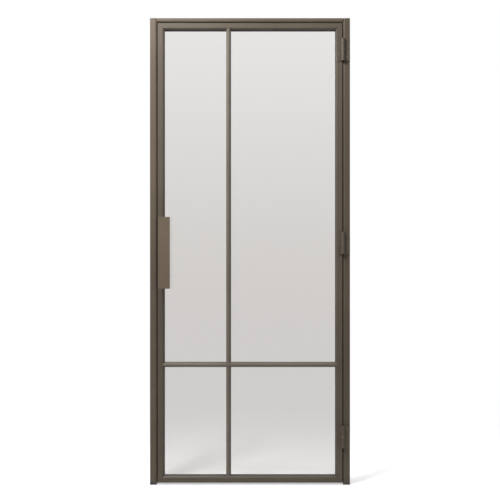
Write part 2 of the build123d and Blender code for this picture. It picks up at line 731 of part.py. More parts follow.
for place, centre_z in hinge_centres.items():
    low_z = centre_z - hinge_height / 2
    top_z = centre_z + hinge_height / 2
    screw_zs = [centre_z + wing_screw_pitch * step for step in (-1, 0, 1)]
    upper_knuckle_z = top_z - knuckle_length

    with BuildPart() as frame_wing:
        with BuildSketch(Plane.XY.offset(low_z)):
            slab(jamb_inner_x, frame_wing_end, front_y - wing_thickness, front_y)
        extrude(amount=hinge_height)
        with BuildSketch(Plane.XY.offset(low_z + knuckle_length)):
            slab(jamb_inner_x, hinge_x + notch_reach, front_y - wing_thickness, front_y)
        extrude(amount=hinge_height, mode=Mode.SUBTRACT)
        fillet(frame_wing.edges().filter_by(Axis.Y).group_by(Axis.X)[-1], wing_corner_radius)
        with BuildSketch(Plane((hinge_x, hinge_y, low_z), x_dir=RIGHT, z_dir=FRONT)):
            add(knuckle_profile.sketch)
        revolve(axis=hinge_axis)
        with Locations(Plane((hinge_x, hinge_y, low_z + knuckle_length), z_dir=UP)):
            Hole(hinge_pin_radius + pin_fixed_clearance, depth=knuckle_length - pin_foot_inset)
        with Locations(*[Plane((frame_screw_x, front_y - wing_thickness, z), z_dir=FRONT)
                         for z in screw_zs]):
            CounterSinkHole(wing_screw_hole, wing_countersink, depth=wing_thickness,
                            counter_sink_angle=countersink_angle)
    save(frame_wing, f"frame_wing_{place}")

    with BuildPart() as leaf_wing:
        with BuildSketch(Plane.XY.offset(low_z)):
            slab(leaf_wing_end, leaf_half, front_y - wing_thickness, front_y)
        extrude(amount=hinge_height)
        with BuildSketch(Plane.XY.offset(upper_knuckle_z)):
            slab(hinge_x - notch_reach, leaf_half, front_y - wing_thickness, front_y)
        extrude(amount=-hinge_height, mode=Mode.SUBTRACT)
        fillet(leaf_wing.edges().filter_by(Axis.Y).group_by(Axis.X)[0], wing_corner_radius)
        with BuildSketch(Plane((hinge_x, hinge_y, top_z), x_dir=RIGHT, z_dir=REAR)):
            add(knuckle_profile.sketch)
        revolve(axis=hinge_axis)
        with Locations(Plane((hinge_x, hinge_y, upper_knuckle_z), z_dir=DOWN)):
            Hole(hinge_pin_radius + pin_running_clearance, depth=pin_engagement + pin_tip_clearance)
        with Locations(*[Plane((leaf_screw_x, front_y - wing_thickness, z), z_dir=FRONT)
                         for z in screw_zs]):
            CounterSinkHole(wing_screw_hole, wing_countersink, depth=wing_thickness,
                            counter_sink_angle=countersink_angle)
    save(leaf_wing, f"leaf_wing_{place}")

    pin_low = low_z + pin_foot_inset
    pin_high = upper_knuckle_z + pin_engagement
    with BuildPart() as hinge_pin:
        with BuildSketch(Plane.XY.offset(pin_low)):
            with Locations((hinge_x, hinge_y)):
                Circle(hinge_pin_radius)
        extrude(amount=pin_high - pin_low)
        chamfer(hinge_pin.edges().filter_by(GeomType.CIRCLE), knuckle_chamfer)
    save(hinge_pin, f"hinge_pin_{place}")

with BuildPart() as hinge_washers:
    for centre_z in hinge_centres.values():
        with BuildSketch(Plane.XY.offset(centre_z - hinge_height / 2 + knuckle_length)):
            with Locations((hinge_x, hinge_y)):
                Circle(washer_radius)
                Circle(hinge_pin_radius + pin_running_clearance, mode=Mode.SUBTRACT)
        extrude(amount=washer_thickness)
save(hinge_washers, "hinge_washers")

with BuildPart() as wing_screw:
    with BuildSketch(Plane.XZ):
        with BuildLine():
            Polyline(
                (0, 0), (wing_screw_head_radius, 0),
                (wing_screw_radius, wing_screw_radius - wing_screw_head_radius),
                (wing_screw_radius, -wing_screw_length), (0, -wing_screw_length), close=True,
            )
        make_face()
    revolve(axis=Axis.Z)
    chamfer(wing_screw.edges().group_by(Axis.Z)[0], screw_tip_chamfer)
    with BuildSketch(Plane.XY):
        RegularPolygon(socket_width / 2, side_count=6, major_radius=False)
    extrude(amount=-socket_depth, mode=Mode.SUBTRACT)

for x, name in ((frame_screw_x, "frame_wing_screws"), (leaf_screw_x, "leaf_wing_screws")):
    with BuildPart() as wing_screws:
        with Locations(*[Plane((x, front_y - wing_thickness, z), z_dir=FRONT) for z in wing_screw_zs]):
            add(wing_screw.part)
    save(wing_screws, name)

# Tapped steel plates inside the hollow profiles, behind the wings.
for name, x_low, x_high, screw_x, face_wall in (
    ("frame_backing_plates", jamb_inner_x + frame_bevel_width + frame_wall,
     half_width - frame_wall, frame_screw_x, frame_wall),
    ("leaf_backing_plates", leaf_half - tube_face + rebate_wall, leaf_half - tube_wall, leaf_screw_x,
     tube_wall),
):
    with BuildPart() as backing_plates:
        for centre_z in hinge_centres.values():
            with BuildSketch(Plane.XY.offset(centre_z - hinge_height / 2)):
                slab(x_low + backing_clearance, x_high - backing_clearance, front_y + face_wall,
                     front_y + face_wall + backing_thickness)
            extrude(amount=hinge_height)
        with Locations(*[Plane((screw_x, front_y + face_wall, z), z_dir=FRONT) for z in wing_screw_zs]):
            Hole(wing_screw_radius + thread_clearance, depth=backing_thickness)
    save(backing_plates, name)


# Pull: a flat plate welded on two turned posts, screwed on through the lock stile.

plate_left = -leaf_half + pull_edge_inset
plate_inner_y = front_y - pull_projection + pull_thickness
post_foot_y = front_y - post_washer
with BuildPart() as pull:
    with BuildSketch(Plane((plate_left + pull_width / 2, plate_inner_y, pull_centre_z), x_dir=RIGHT,
                           z_dir=FRONT)):
        RectangleRounded(pull_width, pull_length, pull_corner_radius)
    extrude(amount=pull_thickness)
    fillet(pull.faces().sort_by(Axis.Y)[0].edges(), pull_edge_radius)
    with BuildSketch(Plane((0, post_foot_y, 0), x_dir=RIGHT, z_dir=FRONT)):
        with Locations(*[(post_x, z) for z in post_zs]):
            Circle(post_radius)
    extrude(amount=post_foot_y - plate_inner_y)
    with Locations(*[Plane((post_x, post_foot_y, z), z_dir=REAR) for z in post_zs]):
        Hole(pull_screw_radius + thread_clearance, depth=post_bore_depth)
save(pull, "pull")

with BuildPart() as pull_washers:
    with BuildSketch(Plane((0, front_y, 0), x_dir=RIGHT, z_dir=FRONT)):
        with Locations(*[(post_x, z) for z in post_zs]):
            Circle(post_radius)
            Circle(pull_screw_radius + screw_clearance, mode=Mode.SUBTRACT)
    extrude(amount=post_washer)
save(pull_washers, "pull_washers")

# Low-head screws from the far face of the stile, right through its tube into the posts.
pull_screw_length = leaf_depth + post_washer + pull_screw_engagement
with BuildPart() as pull_screw:
    with BuildSketch(Plane.XZ):
        slab(0, pull_screw_head_radius, 0, pull_screw_head_height)
        slab(0, pull_screw_radius, -pull_screw_length, 0)
    revolve(axis=Axis.Z)
    fillet(pull_screw.edges().sort_by(Axis.Z)[-1], pull_screw_head_rounding)
    with BuildSketch(Plane.XY.offset(pull_screw_head_height)):
        RegularPolygon(socket_width / 2, side_count=6, major_radius=False)
    extrude(amount=-socket_depth, mode=Mode.SUBTRACT)

with BuildPart() as pull_screws:
    with Locations(*[Plane((post_x, rear_y, z), z_dir=REAR) for z in post_zs]):
        add(pull_screw.part)
save(pull_screws, "pull_screws")


# Magnetic catch: a magnet let into the leaf's top edge under a steel keeper on the head.

with BuildPart() as catch_keeper:
    with BuildSketch(Plane((catch_centre_x, catch_y, head_under_z), z_dir=DOWN)):
        RectangleRounded(keeper_length, keeper_width, pull_corner_radius)
    extrude(amount=keeper_thickness)
    with Locations(*[Plane((catch_centre_x + side * keeper_screw_pitch / 2, catch_y,
                            head_under_z - keeper_thickness), z_dir=DOWN) for side in (-1, 1)]):
        CounterSinkHole(keeper_screw_radius + screw_clearance, keeper_screw_head_radius + screw_clearance / 2,
                        depth=keeper_thickness, counter_sink_angle=countersink_angle)
save(catch_keeper, "catch_keeper")

with BuildPart() as keeper_screw:
    with BuildSketch(Plane.XZ):
        with BuildLine():
            Polyline(
                (0, 0), (keeper_screw_head_radius, 0),
                (keeper_screw_radius, keeper_screw_radius - keeper_screw_head_radius),
                (keeper_screw_radius, -keeper_screw_length), (0, -keeper_screw_length), close=True,
            )
        make_face()
    revolve(axis=Axis.Z)

with BuildPart() as keeper_screws:
    with Locations(*[Plane((catch_centre_x + side * keeper_screw_pitch / 2, catch_y,
                            head_under_z - keeper_thickness), z_dir=DOWN) for side in (-1, 1)]):
        add(keeper_screw.part)
save(keeper_screws, "keeper_screws")

with BuildPart() as catch_housing:
    with BuildSketch(Plane((catch_centre_x, catch_y, leaf_top), z_dir=UP)):
        RectangleRounded(catch_length + 2 * catch_flange, catch_width + catch_flange, pull_corner_radius)
    extrude(amount=catch_flange_thickness)
    with BuildSketch(Plane((catch_centre_x, catch_y, leaf_top), z_dir=UP)):
        Rectangle(catch_length, catch_width)
    extrude(amount=-catch_body_depth)
    with BuildSketch(Plane((catch_centre_x, catch_y, leaf_top + catch_flange_thickness), z_dir=UP)):
        Rectangle(magnet_length + 2 * thread_clearance, magnet_width + 2 * thread_clearance)
    extrude(amount=-magnet_depth, mode=Mode.SUBTRACT)
save(catch_housing, "catch_housing")

with BuildPart() as catch_magnet:
    with BuildSketch(Plane((catch_centre_x, catch_y, leaf_top + catch_flange_thickness), z_dir=UP)):
        Rectangle(magnet_length, magnet_width)
    extrude(amount=-magnet_depth)
save(catch_magnet, "catch_magnet")
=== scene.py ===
import math

import bpy
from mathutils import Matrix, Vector


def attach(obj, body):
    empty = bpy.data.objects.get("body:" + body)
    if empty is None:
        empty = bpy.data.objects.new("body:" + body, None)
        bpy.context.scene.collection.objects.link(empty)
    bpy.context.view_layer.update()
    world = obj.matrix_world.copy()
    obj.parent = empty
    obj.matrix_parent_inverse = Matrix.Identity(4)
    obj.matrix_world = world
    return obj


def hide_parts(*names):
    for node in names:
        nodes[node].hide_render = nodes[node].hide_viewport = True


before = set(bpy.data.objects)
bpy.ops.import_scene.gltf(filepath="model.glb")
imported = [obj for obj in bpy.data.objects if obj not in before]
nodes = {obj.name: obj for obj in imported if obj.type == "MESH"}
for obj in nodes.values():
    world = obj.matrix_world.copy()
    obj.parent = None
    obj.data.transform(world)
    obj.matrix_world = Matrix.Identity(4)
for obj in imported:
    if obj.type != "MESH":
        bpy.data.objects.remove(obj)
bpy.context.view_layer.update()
scene = bpy.context.scene


# Jambs and head
# Hollow aluminium frame profiles in a satin bronze powder coat, sprayed and baked after cutting.
# The coat has a fine orange peel and drifts in tone along the bars. The hinge jamb gets a darker
# copy of the coat, which is painted shade for the light falling off towards the hinge side.

def add_node(tree, kind, settings=(), **inputs):
    """A node of that kind, with its settings and the values or links of its inputs."""
    made = tree.nodes.new(kind)
    for name, value in dict(settings).items():
        setattr(made, name, value)
    for name, value in inputs.items():
        feed(tree, made.inputs[name.replace("_", " ")], value)
    return made


def feed(tree, socket, value):
    """Gives a socket a value, or links it to another node's output."""
    if isinstance(value, bpy.types.NodeSocket):
        tree.links.new(value, socket)
    else:
        socket.default_value = value


def reckon(tree, operation, *values):
    """The result of a Math node on numbers or links."""
    made = add_node(tree, "ShaderNodeMath", {"operation": operation})
    for socket, value in zip(made.inputs, values):
        feed(tree, socket, value)
    return made.outputs[0]


def linear(red, green, blue):
    """A colour from its values on a screen, 0 to 255."""
    return tuple(
        (c / 255 / 12.92 if c <= 10 else ((c / 255 + 0.055) / 1.055) ** 2.4)
        for c in (red, green, blue)
    ) + (1.0,)


def new_finish(name):
    """An empty node material, its Principled shader and the place its pattern is measured from."""
    material = bpy.data.materials.new(name)
    material.use_nodes = True
    tree = material.node_tree
    tree.nodes.clear()
    place = add_node(tree, "ShaderNodeTexCoord").outputs["Object"]
    shader = add_node(tree, "ShaderNodeBsdfPrincipled")
    add_node(tree, "ShaderNodeOutputMaterial", Surface=shader.outputs["BSDF"])
    return material, tree, place, shader


def mottle(tree, place, scale, detail=2.0, low=0.35, high=0.65):
    """Noise at a scale per metre, stretched to run from 0 to 1."""
    noise = add_node(tree, "ShaderNodeTexNoise", Vector=place, Scale=scale, Detail=detail)
    return between(tree, noise.outputs["Fac"], 0.0, 1.0, low, high)


def between(tree, value, first, second, low=0.0, high=1.0):
    """A number that runs from first to second as value goes from low to high."""
    return add_node(
        tree, "ShaderNodeMapRange", Value=value, From_Min=low, From_Max=high, To_Min=first,
        To_Max=second,
    ).outputs["Result"]


def two_tones(tree, share, dark, light):
    """A colour that runs from dark to light as share goes from 0 to 1."""
    mix = add_node(tree, "ShaderNodeMix", {"data_type": "RGBA"})
    feed(tree, mix.inputs["Factor"], share)
    feed(tree, mix.inputs[6], dark)
    feed(tree, mix.inputs[7], light)
    return mix.outputs[2]


def roughen(tree, shader, height, depth):
    """Makes the surface uneven by height, from 0 to 1, over a depth in metres."""
    bump = add_node(tree, "ShaderNodeBump", Height=height, Distance=depth, Strength=1.0)
    feed(tree, shader.inputs["Normal"], bump.outputs["Normal"])


def powder_coat(name, dark, light, peel_depth=0.000035, joint=None):
    """Satin powder coat: two close tones that drift, an orange peel and fine pigment specks.

    A joint gives the line at which two coated pieces meet, where the coat is dark and sunk.
    """
    material, tree, place, shader = new_finish(name)
    drift = mottle(tree, place, 3.0)
    speck = mottle(tree, place, 1900.0, detail=0.0)
    peel = mottle(tree, place, 620.0, detail=1.0)
    speck_share = 0.25
    specks = between(tree, speck, 0.0, speck_share)
    share = reckon(tree, "MULTIPLY_ADD", drift, 1 - speck_share, specks)
    tone = two_tones(tree, share, dark, light)
    if joint:
        joint_tone, joint_depth_in_peels = linear(38, 33, 29), 4.0
        line = joint(tree, place)
        tone = two_tones(tree, line, tone, joint_tone)
        sunk = reckon(tree, "MULTIPLY", line, joint_depth_in_peels)
        peel = reckon(tree, "SUBTRACT", peel, sunk)
    feed(tree, shader.inputs["Base Color"], tone)
    feed(tree, shader.inputs["Roughness"], between(tree, peel, 0.42, 0.52))
    feed(tree, shader.inputs["Specular IOR Level"], 0.3)
    roughen(tree, shader, peel, peel_depth)
    return material


def finish_nodes(material, *names):
    """Gives CAD nodes their finish."""
    for name in names:
        for held in nodes[name].material_slots:
            held.material = material


frame_coat = powder_coat("frame_coat_bronze", linear(89, 78, 66), linear(99, 88, 74))
finish_nodes(frame_coat, "lock_jamb", "head")
# Painted shade: the hinge jamb's coat is darker than the frame coat, for the light falling off to
# that side.
hinge_jamb_painted_shade_coat = powder_coat("hinge_jamb_coat_bronze", linear(79, 69, 57), linear(87, 77, 65))
finish_nodes(hinge_jamb_painted_shade_coat, "hinge_jamb")


# Screws that hold the head
# Zinc-plated pan screws with a hexagon socket. They go through the jambs' inner walls and bite in
# the two open ports at each end of the head.

def metal(name, dark, light, roughness, grain_scale):
    """Bare or plated metal with fine scratches."""
    material, tree, place, shader = new_finish(name)
    cloud = mottle(tree, place, 40.0)
    scratch = mottle(tree, place, grain_scale, detail=2.0)
    feed(tree, shader.inputs["Base Color"], two_tones(tree, cloud, dark, light))
    feed(tree, shader.inputs["Metallic"], 1.0)
    dull = between(tree, scratch, roughness - 0.06, roughness + 0.08)
    feed(tree, shader.inputs["Roughness"], dull)
    roughen(tree, shader, scratch, 0.00001)
    return material


def new_pieces_tree(name, sizes):
    """An empty Geometry Nodes tree that takes seats, sizes, a finish and a seed."""
    tree = bpy.data.node_groups.new(name, "GeometryNodeTree")
    tree.interface.new_socket("Seats", in_out="INPUT", socket_type="NodeSocketGeometry")
    for size in sizes:
        tree.interface.new_socket(size, in_out="INPUT", socket_type="NodeSocketFloat")
    tree.interface.new_socket("Finish", in_out="INPUT", socket_type="NodeSocketMaterial")
    tree.interface.new_socket("Seed", in_out="INPUT", socket_type="NodeSocketInt")
    tree.interface.new_socket("Pieces", in_out="OUTPUT", socket_type="NodeSocketGeometry")
    return tree, add_node(tree, "NodeGroupInput").outputs


def joined(tree, *shapes):
    """Several shapes as one."""
    made = add_node(tree, "GeometryNodeJoinGeometry")
    for shape in shapes:
        tree.links.new(shape, made.inputs[0])
    return made.outputs[0]


def raised(tree, shape, height):
    """A shape moved up its axis."""
    up = add_node(tree, "ShaderNodeCombineXYZ", Z=height).outputs[0]
    return add_node(tree, "GeometryNodeTransform", Geometry=shape, Translation=up).outputs[0]


def turned(tree, outline, facets):
    """A closed turned shape. The outline gives height and radius up its side."""
    rings = []
    for (low, low_radius), (high, high_radius) in zip(outline, outline[1:]):
        ring = add_node(
            tree, "GeometryNodeMeshCone", {"fill_type": "NONE"}, Vertices=facets,
            Radius_Bottom=low_radius, Radius_Top=high_radius,
            Depth=reckon(tree, "SUBTRACT", high, low),
        )
        rings.append(raised(tree, ring.outputs["Mesh"], low))
    for (height, radius), faces_down in ((outline[0], True), (outline[-1], False)):
        disc = add_node(
            tree, "GeometryNodeMeshCircle", {"fill_type": "NGON"}, Vertices=facets, Radius=radius
        )
        disc = raised(tree, disc.outputs["Mesh"], height)
        if faces_down:
            disc = add_node(tree, "GeometryNodeFlipFaces", Mesh=disc).outputs[0]
        rings.append(disc)
    return add_node(
        tree, "GeometryNodeMergeByDistance", Geometry=joined(tree, *rings), Distance=0.000002
    ).outputs[0]


def rounded_rim(tree, top, radius, rounding):
    """The last points of an outline, round its upper edge."""
    return [
        (reckon(tree, "MULTIPLY_ADD", rounding, math.sin(turn) - 1, top),
         reckon(tree, "MULTIPLY_ADD", rounding, math.cos(turn) - 1, radius))
        for turn in (0.0, math.radians(30), math.radians(60), math.radians(90))
    ]


def cut_out(tree, shape, *cutters):
    """A shape less its cutters."""
    made = add_node(tree, "GeometryNodeMeshBoolean", {"operation": "DIFFERENCE", "solver": "EXACT"})
    tree.links.new(shape, made.inputs[0])
    for cutter in cutters:
        tree.links.new(cutter, made.inputs[1])
    return made.outputs[0]


def put_on_seats(tree, given, shape):
    """Ends the tree: the shape on each seat, facing its way and turned at random about its axis."""
    facing = add_node(
        tree, "GeometryNodeInputNamedAttribute", {"data_type": "FLOAT_VECTOR"}, Name="facing"
    )
    aligned = add_node(
        tree, "FunctionNodeAlignRotationToVector", {"axis": "Z"}, Vector=facing.outputs["Attribute"]
    ).outputs[0]
    chance = add_node(tree, "FunctionNodeRandomValue", {"data_type": "FLOAT"}, Seed=given["Seed"])
    feed(tree, chance.inputs[3], 2 * math.pi)
    spin = add_node(
        tree, "FunctionNodeAxisAngleToRotation", Axis=(0.0, 0.0, 1.0), Angle=chance.outputs[1]
    ).outputs[0]
    turn = add_node(
        tree, "FunctionNodeRotateRotation", {"rotation_space": "LOCAL"}, Rotation=aligned,
        Rotate_By=spin,
    ).outputs[0]
    placed = add_node(
        tree, "GeometryNodeInstanceOnPoints", Points=given["Seats"], Instance=shape, Rotation=turn
    ).outputs[0]
    solid = add_node(tree, "GeometryNodeRealizeInstances", Geometry=placed).outputs[0]
    painted = add_node(
        tree, "GeometryNodeSetMaterial", Geometry=solid, Material=given["Finish"]
    ).outputs[0]
    add_node(tree, "NodeGroupOutput", Pieces=painted)


screw_tree, given = new_pieces_tree("hex_socket_screws", (
    "Head radius", "Head height", "Underside radius", "Rim rounding", "Sunk", "Shank radius",
    "Length", "Thread length", "Thread pitch", "Socket width", "Socket depth",
))
tip = reckon(screw_tree, "MULTIPLY", given["Length"], -1.0)
under = reckon(screw_tree, "MULTIPLY", given["Sunk"], -1.0)
top = reckon(screw_tree, "SUBTRACT", given["Head height"], given["Sunk"])
core = reckon(screw_tree, "MULTIPLY", given["Shank radius"], 0.84)
ridge = reckon(screw_tree, "MULTIPLY", given["Shank radius"], 0.1)
tip_radius = reckon(screw_tree, "MULTIPLY", core, 0.7)
taper_end = reckon(screw_tree, "MULTIPLY_ADD", core, 0.3, tip)
shank = [(tip, tip_radius), (taper_end, core), (under, core), (under, given["Underside radius"])]
head_rim = rounded_rim(screw_tree, top, given["Head radius"], given["Rim rounding"])
body = turned(screw_tree, shank + head_rim, facets=32)
hexagon = add_node(
    screw_tree, "GeometryNodeMeshCylinder", Vertices=6,
    Radius=reckon(screw_tree, "DIVIDE", given["Socket width"], 2 * math.cos(math.radians(30))),
    Depth=reckon(screw_tree, "MULTIPLY", given["Socket depth"], 2.0),
).outputs["Mesh"]
body = cut_out(screw_tree, body, raised(screw_tree, hexagon, top))
ridge_path = reckon(screw_tree, "SUBTRACT", given["Shank radius"], ridge)
spiral = add_node(
    screw_tree, "GeometryNodeCurveSpiral", Resolution=14,
    Rotations=reckon(screw_tree, "DIVIDE", given["Thread length"], given["Thread pitch"]),
    Start_Radius=ridge_path, End_Radius=ridge_path, Height=given["Thread length"],
).outputs[0]
thread = add_node(
    screw_tree, "GeometryNodeCurveToMesh", Curve=spiral, Fill_Caps=True,
    Profile_Curve=add_node(
        screw_tree, "GeometryNodeCurvePrimitiveCircle", Resolution=4, Radius=ridge
    ).outputs["Curve"],
).outputs[0]
thread = raised(screw_tree, thread, taper_end)
put_on_seats(screw_tree, given, joined(screw_tree, body, thread))


def set_in_place(name, tree, seats, body, slot, replaced=(), **sizes):
    """A tree's pieces on seats, given as (point, way it faces), as one plain mesh on a body."""
    mesh = bpy.data.meshes.new(name)
    mesh.from_pydata([point for point, way in seats], [], [])
    facing = mesh.attributes.new("facing", "FLOAT_VECTOR", "POINT")
    for mark, (point, way) in zip(facing.data, seats):
        mark.vector = way
    piece = bpy.data.objects.new(name, mesh)
    scene.collection.objects.link(piece)
    growth = piece.modifiers.new("growth", "NODES")
    growth.node_group = tree
    for item in tree.interface.items_tree:
        if item.in_out == "INPUT" and item.name.replace(" ", "_") in sizes:
            growth[item.identifier] = sizes[item.name.replace(" ", "_")]
    look = bpy.context.evaluated_depsgraph_get()
    grown = bpy.data.meshes.new_from_object(piece.evaluated_get(look))
    piece.modifiers.remove(growth)
    piece.data = grown
    grown.name = name
    grown.shade_smooth()
    grown.set_sharp_from_angle(angle=math.radians(32))
    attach(piece, body)
    if replaced:
        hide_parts(*replaced)


zinc = metal("zinc_plated_steel", linear(150, 150, 147), linear(178, 178, 174), 0.36, 700.0)
inner_wall_back = 0.422
port_depths, port_height = (0.0007, 0.0263), 2.091
set_in_place(
    "head_socket_screws", screw_tree,
    [((side * inner_wall_back, depth, port_height), (side, 0.0, 0.0))
     for side in (-1, 1) for depth in port_depths],
    "door_frame", "plated_steel", replaced=["head_screws"], Finish=zinc, Seed=3,
    Head_radius=0.0045, Head_height=0.003, Underside_radius=0.0045, Rim_rounding=0.001, Sunk=0.0,
    Shank_radius=0.0025, Length=0.022, Thread_length=0.017, Thread_pitch=0.0008,
    Socket_width=0.003, Socket_depth=0.0016,
)


# Plugs over the wall screws
# Moulded caps of black nylon, pushed in on a hollow, split and barbed barrel. A notch in the rim
# takes the tip of a screwdriver.

nylon, tree, place, shader = new_finish("moulded_nylon")
texture = mottle(tree, place, 1300.0, detail=1.0)
tone = two_tones(tree, mottle(tree, place, 25.0), linear(46, 45, 44), linear(58, 56, 54))
feed(tree, shader.inputs["Base Color"], tone)
feed(tree, shader.inputs["Roughness"], between(tree, texture, 0.5, 0.66))
roughen(tree, shader, texture, 0.00006)
finish_nodes(nylon, "hole_plugs")

plug_tree, given = new_pieces_tree("push_in_plugs", (
    "Cap radius", "Cap height", "Rim rounding", "Barrel radius", "Barrel length", "Wall", "Barb",
    "Slot width", "Notch width", "Notch height",
))


def box(tree, across, along, tall):
    """A block centred on the axis."""
    size = add_node(tree, "ShaderNodeCombineXYZ", X=across, Y=along, Z=tall).outputs[0]
    return add_node(tree, "GeometryNodeMeshCube", Size=size).outputs["Mesh"]


def down_barrel(share):
    """A height that share of the barrel's length below the cap."""
    return reckon(plug_tree, "MULTIPLY", given["Barrel length"], -share)


slim = reckon(plug_tree, "SUBTRACT", given["Barrel radius"], given["Barb"])
outline = []
for barb_start, barb_end in ((1.0, 0.82), (0.8, 0.55), (0.53, 0.3)):
    outline.append((down_barrel(barb_start), slim))
    outline.append((down_barrel(barb_end), given["Barrel radius"]))
outline += [(down_barrel(0.28), slim), (0.0, slim), (0.0, given["Cap radius"])]
outline += rounded_rim(plug_tree, given["Cap height"], given["Cap radius"], given["Rim rounding"])
bore = add_node(
    plug_tree, "GeometryNodeMeshCylinder", Vertices=32,
    Radius=reckon(plug_tree, "SUBTRACT", slim, given["Wall"]),
    Depth=reckon(plug_tree, "MULTIPLY", given["Barrel length"], 2.0),
).outputs["Mesh"]
cutters = [raised(plug_tree, bore, down_barrel(1.08))]
span = reckon(plug_tree, "MULTIPLY", given["Cap radius"], 3.0)
for across, along in ((given["Slot width"], span), (span, given["Slot width"])):
    slot = box(plug_tree, across, along, given["Barrel length"])
    cutters.append(raised(plug_tree, slot, down_barrel(0.75)))
cutters.append(add_node(
    plug_tree, "GeometryNodeTransform",
    Geometry=box(
        plug_tree, given["Notch width"], given["Notch width"],
        reckon(plug_tree, "MULTIPLY", given["Notch height"], 2.0),
    ),
    Translation=add_node(plug_tree, "ShaderNodeCombineXYZ", X=given["Cap radius"]).outputs[0],
).outputs[0])
put_on_seats(plug_tree, given, cut_out(plug_tree, turned(plug_tree, outline, facets=32), *cutters))

jamb_inner_face, head_underside, wall_screw_depth = 0.420, 2.082, 0.013
wall_screw_heights, lintel_screw_places = (0.12, 0.74, 1.36, 1.98), (-0.2, 0.2)
set_in_place(
    "wall_screw_plugs", plug_tree,
    [((side * jamb_inner_face, wall_screw_depth, height), (-side, 0.0, 0.0))
     for side in (-1, 1) for height in wall_screw_heights]
    + [((across, wall_screw_depth, head_underside), (0.0, 0.0, -1.0))
       for across in lintel_screw_places],
    "door_frame", "black_nylon", replaced=["hole_plugs"], Finish=nylon, Seed=8,
    Cap_radius=0.009, Cap_height=0.0008, Rim_rounding=0.0004, Barrel_radius=0.0079,
    Barrel_length=0.005, Wall=0.0012, Barb=0.0004, Slot_width=0.0016, Notch_width=0.0026,
    Notch_height=0.0004,
)


# Feet
# Moulded shoes of dark grey nylon. Each closes the cut end of its jamb, where a hollow spigot holds
# it, and keeps the metal off a wet floor.

foot_nylon, tree, place, shader = new_finish("foot_nylon_grey")
texture = mottle(tree, place, 900.0, detail=1.0)
tone = two_tones(tree, mottle(tree, place, 18.0), linear(60, 58, 56), linear(72, 69, 66))
feed(tree, shader.inputs["Base Color"], tone)
feed(tree, shader.inputs["Roughness"], between(tree, texture, 0.5, 0.64))
roughen(tree, shader, texture, 0.00007)
finish_nodes(foot_nylon, "lock_jamb_foot", "hinge_jamb_foot")


# Seal round the stop
# Extruded hollow strips of black rubber. They are pushed into the groove of the stop, so that the
# leaf closes softly on them.

def rubber(name, dark, light):
    """Extruded rubber with a dull bloom."""
    material, tree, place, shader = new_finish(name)
    bloom = mottle(tree, place, 60.0)
    grain = mottle(tree, place, 2600.0, detail=0.0)
    feed(tree, shader.inputs["Base Color"], two_tones(tree, bloom, dark, light))
    feed(tree, shader.inputs["Roughness"], between(tree, bloom, 0.62, 0.8))
    roughen(tree, shader, grain, 0.00003)
    return material


seal_rubber = rubber("seal_rubber_black", linear(30, 29, 28), linear(42, 40, 39))
finish_nodes(seal_rubber, "lock_seal", "hinge_seal", "head_seal")


# Leaf members and beads
# Hollow aluminium bars in the same coat, mitred at the corners over pressed-in cleats, so that a
# hairline crosses each corner. The beads snap into the tubes from the pull side.

leaf_side, leaf_foot, leaf_top, member_face = 0.416, 0.009, 2.078, 0.030
half_line, past_face = 0.00012, 0.002


def mitre_line(tree, place):
    """1 on the hairline across each corner of the leaf, as far in from one edge as the other."""
    apart = add_node(tree, "ShaderNodeSeparateXYZ", Vector=place).outputs
    inward = reckon(tree, "SUBTRACT", leaf_side, reckon(tree, "ABSOLUTE", apart["X"]))
    from_end = reckon(
        tree, "MINIMUM", reckon(tree, "SUBTRACT", apart["Z"], leaf_foot),
        reckon(tree, "SUBTRACT", leaf_top, apart["Z"]),
    )
    off_line = reckon(tree, "ABSOLUTE", reckon(tree, "SUBTRACT", inward, from_end))
    line = between(tree, off_line, 1.0, 0.0, half_line, 3 * half_line)
    in_corner = reckon(tree, "LESS_THAN", inward, member_face + past_face)
    return reckon(tree, "MULTIPLY", line, in_corner)


leaf_coat = powder_coat(
    "leaf_coat_bronze", linear(83, 74, 64), linear(92, 83, 71), joint=mitre_line
)
finish_nodes(
    leaf_coat, "lock_stile", "top_rail", "hinge_stile", "bottom_rail", "lock_bead", "top_bead",
    "hinge_bead", "bottom_bead",
)


# Glazing bars
# T bars behind the glass and hollow caps in front of it, clipped on and coped over one another.
# Their coat is a lighter copy of the members' coat, which is painted light: it stands in for the
# brightness the thin bars show among the bright panes.

# Painted light: the bars' coat is lighter than the members' coat, for the brightness they show
# among the bright panes.
bar_painted_light_coat = powder_coat("bar_coat_bronze", linear(103, 95, 85), linear(114, 106, 95))
finish_nodes(
    bar_painted_light_coat, "upright_bar", "level_bar_left", "level_bar_right", "upright_cap", "level_cap_left",
    "level_cap_right",
)


# Cleats and spigots
# Cast cleats pressed into the leaf's corners, and extruded spigots in the ends of the bars. Their
# aluminium is left bare, because it ends up inside the hollow bars.

mill_aluminium = metal("mill_aluminium", linear(160, 160, 160), linear(186, 186, 184), 0.4, 300.0)
finish_nodes(mill_aluminium, "corner_cleats", "bar_spigots")


# Glass
# Four panes of 8 mm laminated glass with a faint warm grey in it. The grey deepens a third of the
# way up as painted shade, which stands in for the shading of what shows through the panes.
# Lamps shine through it.

glass, tree, place, shader = new_finish("pane_glass")
height = add_node(tree, "ShaderNodeSeparateXYZ", Vector=place).outputs["Z"]
grey = add_node(tree, "ShaderNodeValToRGB")
ramp = grey.color_ramp
ramp.interpolation = "B_SPLINE"
